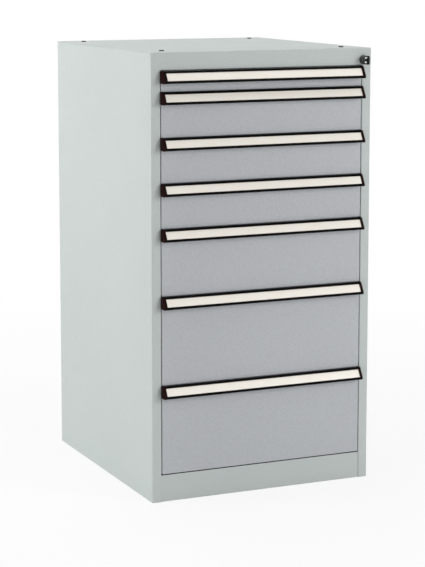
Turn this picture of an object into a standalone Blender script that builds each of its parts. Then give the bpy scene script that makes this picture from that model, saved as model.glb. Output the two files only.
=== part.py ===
# Industrial drawer cabinet: a casing of folded steel sheet, seven drawers of graded height on
# side runners, full-width label handles, and one lock at the top right that bars every drawer.
# X runs to the right, the front faces -Y and +Z is up. Lengths are in metres.
# Every piece is drawn from the plane of the drawer fronts, with y growing towards the back.

import math

import bmesh
import bpy
from mathutils import Matrix, Vector

# Casing
casing_width = 0.540
casing_depth = 0.600
casing_height = 1.000
plinth_height = 0.061
band_height = 0.039
casing_sheet = 0.0015
casing_bend = 0.0009
stile_width = 0.022
stile_return = 0.052
rear_flange = 0.018
band_return = 0.018
top_rear_flange = 0.020
plinth_recess = 0.001
plinth_seam = 0.0005
foot_return = 0.020
shelf_flap = 0.020
back_floor_gap = 0.004

# Drawer fronts share the opening in equal steps; the steps of each drawer are given from the top one down
drawer_steps = (1, 2, 2, 2, 3, 4, 4)
front_sheet = 0.0012
front_bend = 0.0030
front_pan_depth = 0.018
front_side_gap = 0.00175
front_gap = 0.0012
front_upstand = 0.0055
band_gap = 0.0015
plinth_gap = 0.0010

# Drawer trays
tray_sheet = 0.0012
tray_bend = 0.0015
tray_rim = 0.0023
runner_space = 0.017
tray_rear_space = 0.060
tray_wall_inset = 0.0010
sunk_share = 0.8

# Runners: a rail on each side of a tray runs in a channel on the uprights
rail_height = 0.0174
rail_lift = 0.0020
rail_reach = 0.0135
rail_start_gap = 0.006
channel_sheet = 0.0015
channel_tip_gap = 0.0028
channel_front_gap = 0.003
channel_overhang = 0.010
upright_width = 0.030
upright_lip = 0.009
front_upright_place = 0.070
rear_upright_inset = 0.090

# Handle extrusion, its label strip and its end caps
handle_height = 0.0265
handle_flange_height = 0.0245
handle_ledge = 0.0055
handle_ledge_sheet = 0.0018
handle_flange_sheet = 0.0018
handle_wall = 0.0016
handle_corner = 0.0012
handle_drop = 0.0031
top_handle_drop = 0.0002
label_tilt_degrees = 30
label_width = 0.0204
label_sheet = 0.0010
label_hook = 0.0010
label_hook_sheet = 0.0008
label_top_wall = 0.0038
label_rim_wall = 0.0012
cap_width = 0.0063
cap_overhang = 0.0021
cap_margin = 0.0004
cap_corner = 0.0022
cap_edge = 0.0012
cap_tongue = 0.0070

# Plugs in the top panel
plug_radius = 0.0057
plug_side_inset = 0.048
plug_end_inset = 0.055
plug_bead = 0.0009
plug_rise = 0.0020
plug_depth = 0.0060
plug_tip_radius = 0.0048

# Lock in the top band
lock_side_inset = 0.019
lock_height_in_band = 0.0120
bezel_radius = 0.0108
bezel_front_radius = 0.0100
bezel_reach = 0.0120
bezel_foot = 0.0020
bezel_edge = 0.0014
bezel_mouth = 0.0009
barrel_radius = 0.0065
barrel_recess = 0.0010
barrel_edge = 0.0004
housing_wall = 0.0012
housing_depth = 0.0220
nut_across_flats = 0.0215
nut_thickness = 0.0050
nut_room = 0.0015
tail_width = 0.0050
tail_length = 0.0060
cam_radius = 0.0072
cam_sheet = 0.0020
cam_pin_radius = 0.0015
cam_pin_play = 0.0005
key_thickness = 0.0022
key_blade_height = 0.0076
key_blade_length = 0.0240
key_bow_thickness = 0.0040
key_bow_height = 0.0200
key_bow_depth = 0.0120
key_bow_corner = 0.0045
key_neck = 0.0040
key_hole_radius = 0.0026

# Locking bar
bar_sheet = 0.0020
bar_width = 0.016
bar_rear_inset = 0.003
bar_travel = 0.0070
bar_foot_gap = 0.002
hook_height = 0.0060
hook_depth = 0.008
hook_rise = 0.0010
catch_rise = 0.0015
catch_depth = 0.0040
catch_side_gap = 0.0020
hook_root = 0.0020
hook_inset = 0.0005
tab_margin = 0.0045

# Clearances and counts
play = 0.0003
overrun = 0.010
weld_distance = 0.000002
bend_steps = 2
round_steps = 24

# Sizes that follow from the ones above
front_grid = (casing_height - plinth_height - band_height) / sum(drawer_steps)
drawer_pitches = [front_grid * steps for steps in drawer_steps]
half_width = casing_width / 2
opening_half = half_width - stile_width
band_bottom = casing_height - band_height
front_half = opening_half - front_side_gap
tray_half = opening_half - runner_space
tray_front = front_bend + play
tray_rear = casing_depth - tray_rear_space
tray_lift = front_upstand + front_gap + front_sheet + play
tray_headroom = band_gap + front_sheet + play
rail_outer = tray_half + rail_reach
rail_bottom = tray_lift + rail_lift
channel_front = stile_return + channel_front_gap
channel_rear = tray_rear + channel_overhang
bar_rear = stile_return - bar_rear_inset
bar_front = bar_rear - bar_width
rail_front = front_pan_depth + rail_start_gap
label_tilt = math.radians(label_tilt_degrees)
label_slot = label_sheet + 2 * play
label_rim = label_slot + label_hook_sheet
cap_outer = front_half + cap_overhang
handle_half = cap_outer - cap_width - play
lock_x = half_width - lock_side_inset
lock_z = band_bottom + lock_height_in_band
key_reach = bezel_reach - barrel_recess + play + key_neck + key_bow_depth
cam_pin_offset = bar_travel / 2


def clear_scene():
    for item in list(bpy.data.objects):
        bpy.data.objects.remove(item, do_unlink=True)
    for group in list(bpy.data.collections):
        bpy.data.collections.remove(group)


def linear(level):
    share = level / 255
    return share / 12.92 if share <= 0.04045 else ((share + 0.055) / 1.055) ** 2.4


def make_material(name, red, green, blue, roughness, metallic):
    made = bpy.data.materials.new(name)
    made.use_nodes = True
    shader = made.node_tree.nodes["Principled BSDF"]
    shader.inputs["Base Color"].default_value = (linear(red), linear(green), linear(blue), 1)
    shader.inputs["Roughness"].default_value = roughness
    shader.inputs["Metallic"].default_value = metallic
    return made


def new_object(name, data, group):
    item = bpy.data.objects.new(name, data)
    group.objects.link(item)
    return item


# The evaluated mesh of an object as a new closed mesh, with its faces pointing out
def baked(item):
    bpy.context.view_layer.update()
    graph = bpy.context.evaluated_depsgraph_get()
    mesh = bpy.data.meshes.new_from_object(item.evaluated_get(graph))
    mesh.transform(item.matrix_world)
    data = item.data
    bpy.data.objects.remove(item, do_unlink=True)
    store = bpy.data.meshes if isinstance(data, bpy.types.Mesh) else bpy.data.curves
    store.remove(data)
    work = bmesh.new()
    work.from_mesh(mesh)
    bmesh.ops.remove_doubles(work, verts=work.verts, dist=weld_distance)
    bmesh.ops.recalc_face_normals(work, faces=work.faces)
    work.to_mesh(mesh)
    work.free()
    return mesh


# Flat outlines drawn as a 2D curve and extruded from low to high along one axis.
# Outlines lie in X and Y for axis z, in Y and Z for axis x, and in X and Z for axis y.
def prism(outlines, axis, low, high):
    curve = bpy.data.curves.new("outline", "CURVE")
    curve.dimensions = "2D"
    curve.fill_mode = "BOTH"
    curve.extrude = (high - low) / 2
    for outline in outlines:
        spline = curve.splines.new("POLY")
        spline.points.add(len(outline) - 1)
        for point, (across, up) in zip(spline.points, outline):
            point.co = (across, up, 0, 1)
        spline.use_cyclic_u = True
    turns = {
        "z": Matrix.Identity(3),
        "x": Matrix(((0, 0, 1), (1, 0, 0), (0, 1, 0))),
        "y": Matrix(((1, 0, 0), (0, 0, -1), (0, 1, 0))),
    }
    shift = {"z": Vector((0, 0, 1)), "x": Vector((1, 0, 0)), "y": Vector((0, 1, 0))}[axis]
    item = new_object("outline", curve, cutters)
    item.matrix_world = Matrix.Translation(shift * (low + high) / 2) @ turns[axis].to_4x4()
    return baked(item)


def box(low, high):
    work = bmesh.new()
    bmesh.ops.create_cube(work, size=1)
    size = Vector(high) - Vector(low)
    centre = (Vector(high) + Vector(low)) / 2
    bmesh.ops.transform(work, verts=work.verts, matrix=Matrix.Translation(centre) @ Matrix.Diagonal((*size, 1)))
    mesh = bpy.data.meshes.new("box")
    work.to_mesh(mesh)
    work.free()
    return mesh


# A profile of radius and height turned round the Z axis
def turned(profile, closed):
    mesh = bpy.data.meshes.new("profile")
    count = len(profile)
    edges = [(place, place + 1) for place in range(count - 1)]
    if closed:
        edges.append((count - 1, 0))
    mesh.from_pydata([(radius, 0, height) for radius, height in profile], edges, [])
    item = new_object("profile", mesh, cutters)
    screw = item.modifiers.new("Turn", "SCREW")
    screw.axis = "Z"
    screw.steps = round_steps
    screw.render_steps = round_steps
    screw.use_merge_vertices = True
    screw.merge_threshold = weld_distance
    return baked(item)


def combine(mesh, tool, operation):
    body = new_object("body", mesh, cutters)
    other = new_object("tool", tool, cutters)
    join = body.modifiers.new("Combine", "BOOLEAN")
    join.operation = operation
    join.object = other
    result = baked(body)
    bpy.data.objects.remove(other, do_unlink=True)
    bpy.data.meshes.remove(tool)
    return result


def fused(first, *others):
    for other in others:
        first = combine(first, other, "UNION")
    return first


def cut(mesh, *tools):
    for tool in tools:
        mesh = combine(mesh, tool, "DIFFERENCE")
    return mesh


def add_part(name, mesh, material, parent, smooth=False):
    mesh.name = name
    mesh.materials.clear()
    mesh.materials.append(material)
    if smooth:
        mesh.shade_smooth()
        mesh.set_sharp_from_angle(angle=math.radians(35))
    else:
        mesh.shade_flat()
    item = new_object(name, mesh, cabinet)
    item.parent = parent
    return item


def add_empty(name, place, parent=None):
    item = new_object(name, None, cabinet)
    item.location = place
    item.parent = parent
    return item


def circle(centre, radius):
    angles = [2 * math.pi * step / round_steps for step in range(round_steps)]
    return [(centre[0] + radius * math.cos(a), centre[1] + radius * math.sin(a)) for a in angles]


# Points of the arc that rounds one corner, each with the corner's own outward direction
def corner_arc(before, corner, after, radius, steps):
    back = (before - corner).normalized()
    ahead = (after - corner).normalized()
    half_angle = back.angle(ahead) / 2
    centre = corner + (back + ahead).normalized() * (radius / math.sin(half_angle))
    start = corner + back * (radius / math.tan(half_angle)) - centre
    turn = math.pi - 2 * half_angle
    if back.cross(ahead) > 0:
        turn = -turn
    return [centre + Matrix.Rotation(turn * step / steps, 2) @ start for step in range(steps + 1)]


# A closed outline with its corners rounded, given as points with a radius each
def rounded(corners):
    outline = []
    count = len(corners)
    for place, (across, up, radius) in enumerate(corners):
        corner = Vector((across, up))
        if not radius:
            outline.append(tuple(corner))
            continue
        before = Vector(corners[place - 1][:2])
        after = Vector(corners[(place + 1) % count][:2])
        outline += [tuple(point) for point in corner_arc(before, corner, after, radius, bend_steps)]
    return outline


# The section of a folded sheet whose middle line follows the path, with round bends
def folded(path, thickness, bend):
    middle = [Vector(path[0])]
    for before, corner, after in zip(path, path[1:], path[2:]):
        middle += corner_arc(Vector(before), Vector(corner), Vector(after), bend, bend_steps)
    middle.append(Vector(path[-1]))
    near = []
    far = []
    for place, point in enumerate(middle):
        before = middle[max(place - 1, 0)]
        after = middle[min(place + 1, len(middle) - 1)]
        normals = []
        for start, end in ((before, point), (point, after)):
            if start != end:
                run = (end - start).normalized()
                normals.append(Vector((-run.y, run.x)))
        mitre = normals[0] + normals[-1]
        mitre = mitre / mitre.length_squared * 2
        near.append(tuple(point + mitre * (thickness / 2)))
        far.append(tuple(point - mitre * (thickness / 2)))
    return near + far[::-1]


def mirrored(outline, side):
    return [(across * side, up) for across, up in outline]


def bar_outline(low, high):
    return [(low[0], low[1]), (high[0], low[1]), (high[0], high[1]), (low[0], high[1])]


# One side of the casing: rear flange, side, front stile and its return into the opening
def side_panel(side):
    mid = casing_sheet / 2
    path = [
        (half_width - rear_flange, casing_depth - mid),
        (half_width - mid, casing_depth - mid),
        (half_width - mid, mid),
        (opening_half + mid, mid),
        (opening_half + mid, stile_return),
    ]
    top = casing_height - casing_sheet - play
    mesh = prism([mirrored(folded(path, casing_sheet, casing_bend), side)], "z", 0, top)
    # The stile stops under the band of the top panel, and leaves room for the lock
    inner = opening_half - overrun
    lock_room = half_width - casing_sheet - 2 * casing_bend
    behind_band = casing_sheet + play
    notch = [
        (inner, -overrun),
        (half_width + overrun, -overrun),
        (half_width + overrun, behind_band),
        (lock_room, behind_band),
        (lock_room, stile_return + overrun),
        (inner, stile_return + overrun),
    ]
    return cut(mesh, prism([mirrored(notch, side)], "z", band_bottom - play, casing_height + overrun))


# The top with its front band, the band's lower return and a rear flange
def top_panel():
    mid = casing_sheet / 2
    path = [
        (band_return, band_bottom + mid),
        (mid, band_bottom + mid),
        (mid, casing_height - mid),
        (casing_depth - mid, casing_height - mid),
        (casing_depth - mid, casing_height - top_rear_flange),
    ]
    mesh = prism([folded(path, casing_sheet, casing_bend)], "x", -half_width, half_width)
    # The band's return stops short of the sides, and the rear flange short of their rear flanges
    behind_band = casing_sheet + play
    for side in (-1, 1):
        x = sorted((side * (half_width - behind_band), side * (half_width + overrun)))
        low = (x[0], behind_band, band_bottom - overrun)
        high = (x[1], band_return + overrun, band_bottom + behind_band)
        mesh = cut(mesh, box(low, high))
        x = sorted((side * (half_width - rear_flange - play), side * (half_width + overrun)))
        low = (x[0], casing_depth - behind_band, casing_height - top_rear_flange - overrun)
        high = (x[1], casing_depth + overrun, casing_height - casing_sheet - play / 2)
        mesh = cut(mesh, box(low, high))
    nut_half = nut_across_flats / math.sqrt(3) + nut_room
    mesh = cut(
        mesh,
        box(
            (lock_x - nut_half, behind_band, band_bottom - overrun),
            (lock_x + nut_half, band_return + overrun, band_bottom + behind_band),
        ),
        prism([circle((lock_x, lock_z), housing_radius() + play)], "y", -overrun, overrun),
    )
    holes = [
        circle(place, plug_radius + play) for place in plug_places()
    ]
    return cut(mesh, *[prism([hole], "z", casing_height - overrun, casing_height + overrun) for hole in holes])


def plug_places():
    x = half_width - plug_side_inset
    return [(side * x, y) for y in (plug_end_inset, casing_depth - plug_end_inset) for side in (-1, 1)]


def housing_radius():
    return barrel_radius + play + housing_wall


def top_plug(place):
    below = casing_sheet + play
    profile = [
        (0, plug_rise),
        (plug_radius - plug_rise, plug_rise),
        (plug_radius, 0),
        (plug_radius, -below),
        (plug_radius + plug_bead, -below),
        (plug_tip_radius, -plug_depth),
        (0, -plug_depth),
    ]
    mesh = turned(profile, False)
    mesh.transform(Matrix.Translation((*place, casing_height)))
    return mesh


def back_panel():
    inside = half_width - casing_sheet - play
    rear = casing_depth - casing_sheet - play
    top = casing_height - casing_sheet - play
    return box((-inside, rear - casing_sheet, back_floor_gap), (inside, rear, top))


# The plinth front between the stiles and the shelf behind it, folded from one sheet
def base_panel():
    mid = casing_sheet / 2
    plinth_half = opening_half - plinth_seam
    shelf_half = half_width - casing_sheet - play
    shelf_z = plinth_height - mid
    shelf_front = stile_return + play
    shelf_rear = casing_depth - 2 * casing_sheet - 2 * play - mid
    path = [
        (plinth_recess + foot_return, mid),
        (plinth_recess + mid, mid),
        (plinth_recess + mid, shelf_z),
        (shelf_rear, shelf_z),
        (shelf_rear, shelf_z - shelf_flap),
    ]
    mesh = prism([folded(path, casing_sheet, casing_bend)], "x", -shelf_half, shelf_half)
    for side in (-1, 1):
        x = sorted((side * plinth_half, side * (shelf_half + overrun)))
        mesh = cut(mesh, box((x[0], -overrun, -overrun), (x[1], shelf_front, plinth_height + overrun)))
    return mesh


# Two uprights on the side of the casing, with one channel for every drawer
def runner_rack(side):
    web_inner = rail_outer + play
    web_mid = web_inner + channel_sheet / 2
    face = web_mid + channel_sheet / 2
    outer = half_width - casing_sheet - play - channel_sheet / 2
    pieces = []
    rear_upright_place = casing_depth - rear_upright_inset - upright_width
    for start in (front_upright_place, rear_upright_place):
        near = start + channel_sheet / 2
        far = start + upright_width - channel_sheet / 2
        path = [
            (outer, near + upright_lip),
            (outer, near),
            (face, near),
            (face, far),
            (outer, far),
            (outer, far - upright_lip),
        ]
        section = mirrored(folded(path, channel_sheet, channel_sheet), side)
        pieces.append(prism([section], "z", plinth_height + play, casing_height - casing_sheet - play))
    tip = tray_half + channel_tip_gap
    for level in drawer_levels():
        low = level + rail_bottom - play - channel_sheet / 2
        high = level + rail_bottom + rail_height + play + channel_sheet / 2
        path = [(tip, low), (web_mid, low), (web_mid, high), (tip, high)]
        section = mirrored(folded(path, channel_sheet, channel_sheet), side)
        pieces.append(prism([section], "y", channel_front, channel_rear))
    return fused(*pieces)


# The height of the bottom of each drawer's place, from the top drawer down
def drawer_levels():
    levels = []
    level = band_bottom
    for pitch in drawer_pitches:
        level -= pitch
        levels.append(level)
    return levels


# The top of the unlocked hook, above the rail, from the bottom of a drawer's place
def hook_top():
    return rail_bottom + rail_height + hook_rise + hook_height


# A folded tray with end walls and a rail along each side, from the bottom of its place
def tray(pitch):
    top = pitch - tray_headroom
    mid = tray_sheet / 2
    wall = tray_half - mid
    floor = tray_lift + mid
    path = [
        (-tray_half - tray_rim + mid, top - mid),
        (-wall, top - mid),
        (-wall, floor),
        (wall, floor),
        (wall, top - mid),
        (tray_half + tray_rim - mid, top - mid),
    ]
    mesh = prism([folded(path, tray_sheet, tray_bend)], "y", tray_front, tray_rear)
    sunk = tray_sheet * sunk_share
    inside = tray_half - sunk
    ends = [
        box((-inside, start, tray_lift + sunk), (inside, start + tray_sheet, top - sunk))
        for start in (tray_front + tray_wall_inset, tray_rear - tray_wall_inset - tray_sheet)
    ]
    rails = []
    low = rail_bottom + mid
    high = rail_bottom + rail_height - mid
    for side in (-1, 1):
        section = [(wall, low), (rail_outer - mid, low), (rail_outer - mid, high), (wall, high)]
        outline = mirrored(folded(section, tray_sheet, tray_bend), side)
        rails.append(prism([outline], "y", rail_front, tray_rear - tray_wall_inset))
    # The locking bar's hook rises in front of this catch
    low = hook_top() + catch_rise
    catch_outer = opening_half - play - bar_sheet - catch_side_gap
    catch = box((wall, bar_rear + play, low), (catch_outer, bar_rear + play + catch_depth, low + hook_height))
    return fused(mesh, *ends, *rails, catch)


# A front folded back on all four sides, open at the rear
def front_pan(low, high):
    work = bmesh.new()
    bmesh.ops.create_cube(work, size=1)
    size = (2 * front_half, front_pan_depth, high - low)
    centre = (0, front_pan_depth / 2, (low + high) / 2)
    bmesh.ops.transform(work, verts=work.verts, matrix=Matrix.Translation(centre) @ Matrix.Diagonal((*size, 1)))
    rear = [face for face in work.faces if face.normal.y > 0.5]
    bmesh.ops.delete(work, geom=rear, context="FACES")
    mesh = bpy.data.meshes.new("front")
    work.to_mesh(mesh)
    work.free()
    item = new_object("front", mesh, cutters)
    bend = item.modifiers.new("Bends", "BEVEL")
    bend.width = front_bend
    bend.segments = bend_steps
    bend.limit_method = "NONE"
    wall = item.modifiers.new("Sheet", "SOLIDIFY")
    wall.thickness = front_sheet
    wall.offset = -1
    wall.use_even_offset = True
    return baked(item)


# Places on the handle's slanted face: along it from the top of the label slot, and out from its floor.
# They are given as distance forward of the front and height from the top of the handle.
def on_slant(along, out):
    start = Vector((
        handle_ledge + label_top_wall * math.sin(label_tilt) - label_rim * math.cos(label_tilt),
        -label_top_wall * math.cos(label_tilt) - label_rim * math.sin(label_tilt),
    ))
    down = Vector((math.sin(label_tilt), -math.cos(label_tilt)))
    outward = Vector((math.cos(label_tilt), math.sin(label_tilt)))
    return start + down * along + outward * out


# The point of the slanted wall's inner face at a height
def inside_slant(height):
    start = on_slant(0, -handle_wall)
    along = (start.y - height) / math.cos(label_tilt)
    return on_slant(along, -handle_wall)


def slot_length():
    return label_width + 2 * play


# The extrusion: flange on the front, ledge, slanted wall with a hooked label slot, and finger lip
def handle_outline():
    length = slot_length()
    lip = on_slant(length + label_rim_wall, label_rim)
    corners = [
        (0, 0, 0),
        (handle_ledge, 0, handle_corner / 2),
        (*on_slant(label_hook, label_rim), 0),
        (*on_slant(label_hook, label_slot), 0),
        (*on_slant(0, label_slot), 0),
        (*on_slant(0, 0), 0),
        (*on_slant(length, 0), 0),
        (*on_slant(length, label_slot), 0),
        (*on_slant(length - label_hook, label_slot), 0),
        (*on_slant(length - label_hook, label_rim), 0),
        (lip.x, lip.y, handle_corner),
        (lip.x, -handle_height, handle_corner),
        (inside_slant(-handle_height).x, -handle_height, 0),
        (*inside_slant(-handle_ledge_sheet), 0),
        (handle_flange_sheet, -handle_ledge_sheet, 0),
        (handle_flange_sheet, -handle_flange_height, 0),
        (0, -handle_flange_height, 0),
    ]
    return rounded(corners)


# Forward distances turned into places on the cabinet, clear of the front by the usual play
def on_front(outline, top):
    return [(-forward - play, height + top) for forward, height in outline]


def handle(top):
    return prism([on_front(handle_outline(), top)], "x", -handle_half, handle_half)


def label(top):
    length = slot_length()
    outline = [
        on_slant(play, play),
        on_slant(length - play, play),
        on_slant(length - play, play + label_sheet),
        on_slant(play, play + label_sheet),
    ]
    return prism([on_front(outline, top)], "x", -handle_half, handle_half)


# An end cap: the handle's outer shape with rounded edges, and a tongue inside the extrusion
def end_cap(side, top):
    lip = on_slant(slot_length() + label_rim_wall, label_rim)
    corners = [
        (0, cap_margin, 0),
        (handle_ledge + cap_margin, cap_margin, cap_corner),
        (lip.x + cap_margin, lip.y + cap_margin, cap_corner),
        (lip.x + cap_margin, -handle_height - cap_margin, cap_corner),
        (0, -handle_height - cap_margin, 0),
    ]
    inner = handle_half + play
    ends = sorted((side * inner, side * cap_outer))
    mesh = prism([on_front(rounded(corners), top)], "x", *ends)
    work = bmesh.new()
    work.from_mesh(mesh)
    rear = -play - weld_distance
    outer_rim = [
        edge for edge in work.edges
        if all(abs(abs(v.co.x) - cap_outer) < weld_distance for v in edge.verts)
        and any(v.co.y < rear for v in edge.verts)
        and len(edge.link_faces) == 2
        and edge.calc_face_angle() > math.radians(60)
    ]
    bmesh.ops.bevel(work, geom=outer_rim, offset=cap_edge, segments=bend_steps, affect="EDGES", profile=0.5)
    work.to_mesh(mesh)
    work.free()
    upper = inside_slant(-handle_ledge_sheet - 2 * cap_corner)
    lower = inside_slant(-handle_flange_height)
    tongue = [
        (handle_flange_sheet + play, upper.y),
        (upper.x - play / math.cos(label_tilt), upper.y),
        (lower.x - play / math.cos(label_tilt), lower.y),
        (handle_flange_sheet + play, lower.y),
    ]
    tongue_ends = sorted((side * (handle_half - cap_tongue), side * (inner + cap_width / 2)))
    return fused(mesh, prism([on_front(tongue, top)], "x", *tongue_ends))


def drawer(number, pitch, level, first, last, parent):
    name = "drawer_" + str(number)
    slide = add_empty(name + "_slide", (0, 0, level), parent)
    low = plinth_gap if last else front_upstand + front_gap
    high = pitch - band_gap if first else pitch + front_upstand
    top = high - (top_handle_drop if first else handle_drop)
    add_part(name + "_tray", tray(pitch), tray_paint, slide)
    add_part(name + "_front", front_pan(low, high), front_paint, slide, True)
    add_part(name + "_handle", handle(top), black_handle, slide)
    add_part(name + "_label", label(top), label_card, slide)
    add_part(name + "_left_cap", end_cap(-1, top), black_cap, slide, True)
    add_part(name + "_right_cap", end_cap(1, top), black_cap, slide, True)


# Lock pieces are turned about Z and then laid along the lock's axis, front end forward
def along_lock(mesh):
    mesh.transform(Matrix.Rotation(math.radians(90), 4, "X"))
    return mesh


def lock_housing():
    bore = barrel_radius + play
    radius = housing_radius()
    return along_lock(turned([
        (bore, -housing_depth),
        (radius, -housing_depth),
        (radius, play),
        (bezel_radius, play),
        (bezel_radius, bezel_foot),
        (bezel_front_radius, bezel_reach - bezel_edge),
        (bezel_front_radius - bezel_edge, bezel_reach),
        (bore + bezel_mouth, bezel_reach),
        (bore, bezel_reach - bezel_mouth),
    ], True))


def lock_nut():
    reach = nut_across_flats / math.sqrt(3)
    sides = [math.radians(60 * step) for step in range(6)]
    hexagon = [(reach * math.cos(angle), reach * math.sin(angle)) for angle in sides]
    rear = casing_sheet + play
    return prism([hexagon, circle((0, 0), housing_radius() + play)], "y", rear, rear + nut_thickness)


def barrel_face():
    return bezel_reach - barrel_recess


def lock_cylinder():
    face = barrel_face()
    rear = -housing_depth - play
    mesh = along_lock(turned([
        (0, face),
        (barrel_radius - barrel_edge, face),
        (barrel_radius, face - barrel_edge),
        (barrel_radius, rear),
        (0, rear),
    ], False))
    tail = tail_block(tail_width, -rear - overrun / 2, -rear + tail_length)
    across = key_thickness / 2 + play
    up = key_blade_height / 2 + play
    slot = box((-across, -face - overrun, -up), (across, key_blade_length - face + play, up))
    return cut(fused(mesh, tail), slot)


# A square bar along the lock's axis, standing on one corner
def tail_block(width, near, far):
    half = width / 2
    mesh = box((-half, near, -half), (half, far, half))
    mesh.transform(Matrix.Rotation(math.radians(45), 4, "Y"))
    return mesh


def lock_cam():
    near = housing_depth + 2 * play
    far = near + cam_sheet
    plate = cut(prism([circle((0, 0), cam_radius)], "y", near, far), tail_block(tail_width + 2 * play, 0, far + overrun))
    pin = circle((-cam_pin_offset, -cam_pin_offset), cam_pin_radius)
    return fused(plate, prism([pin], "y", near + cam_sheet / 2, tab_rear() + play))


def key():
    face = -barrel_face()
    neck = face - play
    bow = neck - key_neck
    tip = -key_reach
    half = key_bow_height / 2
    neck_half = key_blade_height / 2
    outline = rounded([
        (neck, -neck_half, 0),
        (neck, neck_half, 0),
        (bow, neck_half, 0),
        (bow, half, key_bow_corner / 2),
        (tip, half, key_bow_corner),
        (tip, -half, key_bow_corner),
        (bow, -half, key_bow_corner / 2),
        (bow, -neck_half, 0),
    ])
    hole = circle(((bow + tip) / 2, 0), key_hole_radius)
    grip = prism([outline, hole], "x", -key_bow_thickness / 2, key_bow_thickness / 2)
    blade = box(
        (-key_thickness / 2, neck - key_neck / 2, -neck_half + play),
        (key_thickness / 2, face + key_blade_length, neck_half - play),
    )
    return fused(grip, blade)


def tab_rear():
    return bar_front + hook_inset + bar_sheet


# A strip that slides on the stile's return, with a hook for each drawer and a slotted tab for the cam
def lock_bar():
    outer = opening_half - play
    inner = outer - bar_sheet
    strip_top = lock_z - cam_pin_offset - cam_pin_radius - 2 * cam_pin_play
    pieces = [box((inner, bar_front, plinth_height + bar_foot_gap), (outer, bar_rear, strip_top))]
    tip = tray_half + channel_tip_gap
    root = inner + bar_sheet / 2
    for level in drawer_levels():
        high = level + hook_top()
        low = high - hook_height
        outline = [(root, low), (root, high + hook_root), (tip, high), (tip, low)]
        pieces.append(prism([outline], "y", bar_rear - hook_inset - hook_depth, bar_rear - hook_inset))
    strip = fused(*pieces)
    pin_low = lock_x - math.hypot(cam_pin_offset, cam_pin_offset) - cam_pin_radius - cam_pin_play
    pin_high = lock_x - cam_pin_offset + cam_pin_radius + cam_pin_play
    slot_z = lock_z - cam_pin_offset
    slot_half = cam_pin_radius + cam_pin_play
    tab = bar_outline(
        (pin_low - tab_margin, band_bottom + play),
        (pin_high + tab_margin, slot_z + slot_half + tab_margin),
    )
    slot = bar_outline((pin_low, slot_z - slot_half), (pin_high, slot_z + slot_half))
    return fused(strip, prism([tab, slot], "y", tab_rear() - bar_sheet, tab_rear()))


clear_scene()
cabinet = bpy.data.collections.new("Drawer cabinet")
cutters = bpy.data.collections.new("Cutters")
bpy.context.scene.collection.children.link(cabinet)
bpy.context.scene.collection.children.link(cutters)

casing_paint = make_material("Casing paint", 209, 213, 211, 0.45, 0)
front_paint = make_material("Front paint", 170, 172, 175, 0.45, 0)
tray_paint = make_material("Tray paint", 150, 152, 154, 0.5, 0)
runner_steel = make_material("Runner steel", 176, 178, 180, 0.4, 1)
black_handle = make_material("Handle black", 18, 18, 18, 0.35, 0)
black_cap = make_material("Cap plastic", 26, 21, 20, 0.3, 0)
label_card = make_material("Label card", 236, 229, 218, 0.6, 0)
black_plug = make_material("Plug plastic", 22, 22, 22, 0.5, 0)
lock_plastic = make_material("Lock plastic", 24, 24, 25, 0.35, 0)
lock_chrome = make_material("Lock chrome", 200, 200, 200, 0.15, 1)
lock_steel = make_material("Lock steel", 150, 150, 148, 0.35, 1)

# The part stands with its origin under the middle of everything, key included
body = add_empty("casing_frame", (0, (key_reach - casing_depth) / 2, 0))
add_part("left_side_panel", side_panel(-1), casing_paint, body)
add_part("right_side_panel", side_panel(1), casing_paint, body)
add_part("top_panel", top_panel(), casing_paint, body)
add_part("back_panel", back_panel(), casing_paint, body)
add_part("base_panel", base_panel(), casing_paint, body)
add_part("left_runner_rack", runner_rack(-1), runner_steel, body)
add_part("right_runner_rack", runner_rack(1), runner_steel, body)
for number, place in enumerate(plug_places(), 1):
    add_part("top_plug_" + str(number), top_plug(place), black_plug, body, True)

lock_axis = add_empty("lock_axis", (lock_x, 0, lock_z), body)
add_part("lock_housing", lock_housing(), lock_plastic, lock_axis, True)
add_part("lock_nut", lock_nut(), lock_steel, lock_axis)
add_part("lock_cylinder", lock_cylinder(), lock_chrome, lock_axis, True)
add_part("lock_cam", lock_cam(), lock_steel, lock_axis, True)
add_part("key", key(), lock_plastic, lock_axis)
add_part("lock_bar", lock_bar(), runner_steel, body)

levels = drawer_levels()
for number, (pitch, level) in enumerate(zip(drawer_pitches, levels), 1):
    drawer(number, pitch, level, number == 1, number == len(levels), body)
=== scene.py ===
import math

import bpy
import numpy as np
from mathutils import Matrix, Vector


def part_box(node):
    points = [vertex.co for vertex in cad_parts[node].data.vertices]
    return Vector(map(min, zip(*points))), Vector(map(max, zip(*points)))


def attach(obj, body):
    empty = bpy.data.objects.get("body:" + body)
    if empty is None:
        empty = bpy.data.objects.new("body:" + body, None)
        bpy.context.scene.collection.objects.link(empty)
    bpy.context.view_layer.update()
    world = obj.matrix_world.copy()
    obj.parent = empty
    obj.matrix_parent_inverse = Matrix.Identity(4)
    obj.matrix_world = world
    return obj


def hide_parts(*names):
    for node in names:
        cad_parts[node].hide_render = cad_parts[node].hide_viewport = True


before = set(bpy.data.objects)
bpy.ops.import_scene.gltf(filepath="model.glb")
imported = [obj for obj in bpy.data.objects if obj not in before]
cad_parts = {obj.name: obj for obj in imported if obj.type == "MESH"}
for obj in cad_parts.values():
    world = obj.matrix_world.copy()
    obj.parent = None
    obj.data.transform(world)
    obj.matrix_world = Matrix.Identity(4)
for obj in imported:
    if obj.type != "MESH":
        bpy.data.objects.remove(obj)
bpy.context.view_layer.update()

# An industrial drawer cabinet with seven drawers. X runs to the right, the front faces -Y, lengths are in metres.
drawerCount = 7
drawerNumbers = range(1, drawerCount + 1)
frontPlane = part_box("drawer_1_front")[0].y
clearance = 0.0003  # between pieces that touch
sharpAngle = math.radians(38)  # an edge that turns further stays sharp
gridDigits = 6  # grid lines less than a micrometre apart are one


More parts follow.
